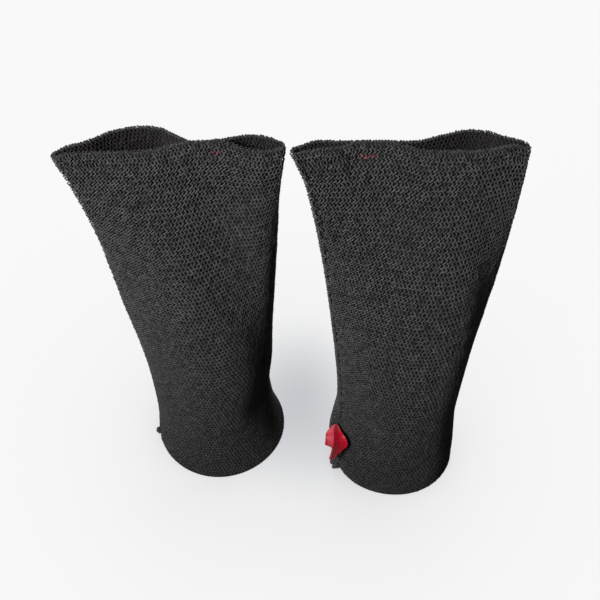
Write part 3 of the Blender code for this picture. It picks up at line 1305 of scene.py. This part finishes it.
@dataclass(frozen=True)
class Tack:
    """A few short stitches of red thread that hold the edging down at one place."""

    x: float
    height: float
    width: float
    strokes: int
    seed: int
    out: float = 0.00020

    def build(self, form: ClothForm) -> bpy.types.Object:
        """Lays the tack's strokes over the edging.

        Args:
            form: The warmer's cloth.

        Returns:
            The strokes.
        """
        chance = np.random.default_rng(self.seed)
        layer = Layer(form, TACK_STROKE.model(), self.out, uneven=TACK_UNEVENNESS)
        middle = form.share_at(self.x, self.height)
        across = np.linspace(-0.5, 0.5, self.strokes) * self.width / KNIT_GIRTH
        layer.lay(middle + across, self.height, chance)
        return layer.build(f"{form.side_name}_tack", TACK_THREAD)


SEAM_GROOVE = Crease(-0.15, 0.0, 0.35, 0.0, 0.0009, 0.0007)


@dataclass
class Warmer:
    """One arm warmer with all that is sewn and knitted on it."""

    side: Side
    seam_turn_deg: float
    creases: tuple[Crease, ...]
    rim_waves: tuple[RimWave, ...]
    knot: Knot
    tack: Tack
    flat: tuple[float, float]
    seed: int

    def build(self) -> None:
        """Makes the warmer's pieces and logs how many triangles each has."""
        name = self.side.value
        form = ClothForm(self.side, self.seam_turn_deg, (*self.creases, SEAM_GROOVE), self.rim_waves)
        cloth = GroundCloth(form).build()
        knit = Knit(form, self.seed).build()
        edging = Edging(form, self.seed + 1).build()
        seam = SideSeam(form, self.seed + 2).build()
        knot = self.knot.build(form)
        tack = self.tack.build(form)
        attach(tack, "root")
        for slot, pieces in ((Slot.KNIT, (cloth, *knit, seam, knot)), (Slot.EDGING, edging)):
            for piece in pieces:
                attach(piece, "root")
        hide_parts(f"{name}_tube")
        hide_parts(f"{name}_edging")
        with_pieces = [*knit, seam, knot, tack, *edging]
        for piece in (cloth, *with_pieces):
            triangles = sum(len(face.vertices) - 2 for face in piece.data.polygons)
            LOG.info("%s: %d triangles", piece.name, triangles)


LEFT_WARMER = Warmer(
    Side.LEFT,
    seam_turn_deg=14,
    creases=(
        Crease(0.010, 0.20, 0.060, 0.235, 0.0060, 0.0006),
        Crease(0.120, 0.36, 0.175, 0.345, 0.0055, 0.0006),
        Crease(0.030, 0.44, 0.085, 0.46, 0.0060, -0.0005),
        Crease(0.050, 0.10, 0.120, 0.12, 0.0070, 0.0006),
        Crease(0.015, 0.72, 0.080, 0.75, 0.0065, 0.0006),
        Crease(0.110, 0.80, 0.180, 0.785, 0.0060, -0.0006),
        Crease(-0.050, 0.43, 0.050, 0.42, 0.0260, -0.0019),
        Crease(-0.020, 0.24, 0.190, 0.23, 0.0170, -0.0026),
        Crease(0.060, 0.40, 0.215, 0.27, 0.0120, 0.0034),
        Crease(0.015, 0.39, 0.150, 0.38, 0.0090, 0.0006),
        Crease(-0.040, 0.19, 0.040, 0.19, 0.0300, -0.0008),
        Crease(0.010, 0.00, 0.075, -0.01, 0.0120, -0.0004),
        Crease(0.150, 0.30, 0.250, 0.30, 0.0125, 0.0010),
        Crease(0.160, 0.43, 0.240, 0.43, 0.0070, -0.0007),
    ),
    rim_waves=(
        RimWave(-0.010, 0.0045, -0.0010),
        RimWave(0.285, 0.0118, 0.0026),
        RimWave(0.345, 0.0054, 0.0018),
        RimWave(0.425, 0.0045, -0.0006),
        RimWave(0.470, 0.0045, -0.0007),
    ),
    knot=Knot(share=0.002, out=0.0012, height=0.0042, lobes=4, spread=0.0010, seed=5),
    tack=Tack(x=-0.0283, height=0.1955, width=0.0024, strokes=5, seed=6),
    flat=(0.178, 0.200),
    seed=11,
)
RIGHT_WARMER = Warmer(
    Side.RIGHT,
    seam_turn_deg=20,
    creases=(
        Crease(0.012, 0.28, 0.070, 0.255, 0.0065, 0.0006),
        Crease(0.125, 0.23, 0.180, 0.245, 0.0055, 0.0005),
        Crease(0.040, 0.37, 0.100, 0.35, 0.0060, -0.0005),
        Crease(0.055, 0.06, 0.110, 0.075, 0.0060, 0.0005),
        Crease(0.020, 0.67, 0.090, 0.64, 0.0065, 0.0006),
        Crease(0.115, 0.84, 0.175, 0.86, 0.0060, -0.0006),
        Crease(0.170, -0.02, 0.204, -0.02, 0.0120, 0.0008),
        Crease(-0.035, 0.07, 0.035, 0.07, 0.0130, -0.0005),
        Crease(-0.035, 0.34, 0.035, 0.34, 0.0180, -0.0003),
        Crease(-0.040, 0.48, 0.050, 0.48, 0.0130, 0.0009),
        Crease(-0.020, 0.27, 0.210, 0.275, 0.0165, -0.0030),
        Crease(0.020, 0.03, 0.190, 0.03, 0.0110, 0.0010),
        Crease(0.004, -0.03, 0.040, -0.03, 0.0100, -0.0016),
        Crease(0.150, 0.16, 0.250, 0.16, 0.0120, 0.0017),
        Crease(0.176, 0.07, 0.212, 0.15, 0.0035, 0.0012),
    ),
    rim_waves=(
        RimWave(-0.015, 0.0060, 0.0008),
        RimWave(0.045, 0.0056, 0.0010),
        RimWave(0.130, 0.0074, 0.0022),
        RimWave(0.190, 0.0069, 0.0019),
        RimWave(0.430, 0.0050, 0.0014),
        RimWave(0.470, 0.0046, -0.0014),
    ),
    knot=Knot(share=0.016, out=0.0022, height=0.0036, lobes=9, spread=0.0014, seed=7),
    tack=Tack(x=0.0286, height=0.1950, width=0.0046, strokes=7, seed=8),
    flat=(0.179, 0.200),
    seed=23,
)


# ---------------------------------------------------------------- the label


@dataclass
class Label:
    """The bare loop of red tape sewn into the right warmer's seam, creased down its middle."""

    thickness: float = 0.0005
    across: int = 17
    along: int = 73
    hollow: float = 0.0008
    ridge_bend: float = 1.3
    sharp_deg: float = 50.0
    flat: tuple[float, float] = (0.010, 0.036)
    area: float = 0.00026
    stations: tuple[TapeStation, ...] = (
        TapeStation(0.0192, 0.0203, 0.0214, -0.0186, 0.0350, 0.0002, 122),
        TapeStation(0.0172, 0.0197, 0.0222, -0.0218, 0.0370, 0.0008, 115),
        TapeStation(0.0156, 0.0194, 0.0232, -0.0247, 0.0380, 0.0014, 95),
        TapeStation(0.0152, 0.0193, 0.0246, -0.0270, 0.0377, 0.0018, 68),
        TapeStation(0.0151, 0.0192, 0.0257, -0.0284, 0.0361, 0.0021, 38),
        TapeStation(0.0152, 0.0190, 0.0258, -0.0290, 0.0342, 0.0020, 16),
        TapeStation(0.0180, 0.0189, 0.0252, -0.0294, 0.0328, 0.0016, 8),
        TapeStation(0.0182, 0.0187, 0.0234, -0.0297, 0.0303, 0.0012, 5),
        TapeStation(0.0178, 0.0184, 0.0210, -0.0297, 0.0258, 0.0008, -3),
        TapeStation(0.0173, 0.0182, 0.0197, -0.0288, 0.0200, 0.0004, -20),
        TapeStation(0.0178, 0.0188, 0.0200, -0.0262, 0.0181, 0.0002, -65),
        TapeStation(0.0196, 0.0205, 0.0214, -0.0212, 0.0176, 0.0000, -90),
    )

    def build(self) -> None:
        """Makes the label as one closed thin piece."""
        table = np.array(self.stations, float)
        at = np.linspace(0, len(table) - 1, self.along)
        fine = between_levels(np.arange(len(table), dtype=float), table, at)
        left_x, crease_x, right_x, y, z, crease_out, facing = fine.T
        facing = np.radians(facing)
        out = np.column_stack([np.zeros(self.along), -np.cos(facing), np.sin(facing)])
        share = np.linspace(-1, 1, self.across)
        half = np.where(share[None, :] < 0, (crease_x - left_x)[:, None], (right_x - crease_x)[:, None])
        x = crease_x[:, None] + share[None, :] * half
        ridge = crease_out[:, None] * (1 - np.abs(share[None, :])) ** self.ridge_bend
        dip = self.hollow * np.where(share > 0, np.sin(math.pi * np.clip(share, 0, 1)), 0)[None, :]
        dip = dip * (crease_out / crease_out.max())[:, None]
        middle = np.stack(np.broadcast_arrays(x, y[:, None], z[:, None]), axis=-1)
        face = middle + (ridge - dip)[..., None] * out[:, None, :]
        front = face + out[:, None, :] * self.thickness / 2
        back = (face - out[:, None, :] * self.thickness / 2)[:, ::-1]
        loops = np.concatenate([front, back], axis=1)
        count = 2 * self.across
        faces = grid_faces(self.along, count, closed_rows=False).tolist()
        ends = self._end_faces(0) + [face[::-1] for face in self._end_faces((self.along - 1) * count)]
        made = mesh_object("red_label", loops.reshape(-1, 3), faces + ends, LABEL_TAPE_FINISH.material())
        builder = bmesh.new()
        builder.from_mesh(made.data)
        bmesh.ops.recalc_face_normals(builder, faces=builder.faces)
        builder.to_mesh(made.data)
        builder.free()
        made.data.set_sharp_from_angle(angle=math.radians(self.sharp_deg))
        self._unwrap(made, count)
        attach(made, "root")
        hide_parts("label")

    def _end_faces(self, first: int) -> list[list[int]]:
        """The quads that close one end of the tape.

        Args:
            first: The number of the end's first point.

        Returns:
            The quads' point numbers.
        """
        last = 2 * self.across - 1
        pairs = [(first + i, first + last - i) for i in range(self.across)]
        return [[a, b, d, c] for (a, b), (c, d) in zip(pairs, pairs[1:])]

    def _unwrap(self, made: bpy.types.Object, count: int) -> None:
        """Gives the tape a map that runs across and along it, in metres.

        Args:
            made: The tape.
            count: How many points are round it.
        """
        layer = made.data.uv_layers.new(name="along_tape")
        width, length = self.flat
        for loop in made.data.loops:
            row, column = divmod(loop.vertex_index, count)
            column = min(column, count - 1 - column)
            layer.data[loop.index].uv = (width * column / self.across, length * row / self.along)


# ---------------------------------------------------------------- the studio


@dataclass(frozen=True)
class StudioLight:
    """One soft area light, aimed at a point."""

    name: str
    place: Triple
    aim: Triple
    size: float
    power: float

    def build(self) -> None:
        """Makes the light."""
        lamp = bpy.data.lights.new(self.name, "AREA")
        lamp.shape = "DISK"
        lamp.size = self.size
        lamp.energy = self.power
        made = bpy.data.objects.new(self.name, lamp)
        made.location = self.place
        way = Vector(self.aim) - Vector(self.place)
        made.rotation_euler = way.to_track_quat("-Z", "Y").to_euler()
        bpy.context.scene.collection.objects.link(made)


@dataclass(frozen=True)
class Studio:
    """The pale floor, the soft light and the camera."""

    camera_place: Triple = (0.0030, -0.2693, 0.456)
    camera_tilt_deg: float = 37.9
    camera_lens: float = 60.0
    camera_sensor: float = 36.0
    camera_near: float = 0.01
    floor_half_width: float = 3.0
    world_strength: float = 0.12
    backdrop: float = 0.93
    white: tuple[float, float, float, float] = (1.0, 1.0, 1.0, 1.0)
    lights: tuple[StudioLight, ...] = (
        StudioLight("key_light", (-0.31, -0.38, 0.60), (0.0, 0.0, 0.14), 0.20, 5.5),
        StudioLight("back_light", (0.05, 0.75, 0.34), (0.0, 0.0, 0.10), 0.40, 6.5),
    )

    def build(self) -> None:
        """Makes all of it."""
        deselect_all()
        bpy.ops.mesh.primitive_plane_add(size=2 * self.floor_half_width, location=(0, 0, 0))
        floor = bpy.context.object
        floor.name = "floor"
        floor.data.materials.append(FloorFinish().material())
        floor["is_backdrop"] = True
        self._world()
        for light in self.lights:
            light.build()
        lens = bpy.data.cameras.new("camera")
        lens.lens = self.camera_lens
        lens.sensor_width = self.camera_sensor
        lens.clip_start = self.camera_near
        camera = bpy.data.objects.new("camera", lens)
        camera.location = self.camera_place
        camera.rotation_euler = (math.radians(self.camera_tilt_deg), 0, 0)
        bpy.context.scene.collection.objects.link(camera)
        bpy.context.scene.camera = camera
        bpy.context.scene.view_settings.view_transform = "Standard"

    def _world(self) -> None:
        """Makes the even light all round, and the pale backdrop that the camera sees past the floor."""
        world = bpy.data.worlds.new("studio")
        world.use_nodes = True
        nodes = NodeTree(world.node_tree)
        light = world.node_tree.nodes["Background"]
        nodes.fill(light, {"Color": self.white, "Strength": self.world_strength})
        seen = nodes.add("ShaderNodeBackground", {"Color": self.white, "Strength": self.backdrop})
        seen_or_not(nodes, world.node_tree.nodes["World Output"], light, seen)
        bpy.context.scene.world = world


def write_sizes() -> None:
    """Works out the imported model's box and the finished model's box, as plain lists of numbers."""
    boxes = {"cad": CAD_BOX, "visual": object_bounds()}
    plain = {name: [list(low), list(high)] for name, (low, high) in boxes.items()}


def main() -> None:
    """Builds the studio, both warmers and the label."""
    Studio().build()
    for warmer in (LEFT_WARMER, RIGHT_WARMER):
        warmer.build()
    Label().build()
    write_sizes()


if __name__ == "__main__":
    logging.basicConfig(level=logging.INFO, format="%(name)s: %(message)s")
    main()
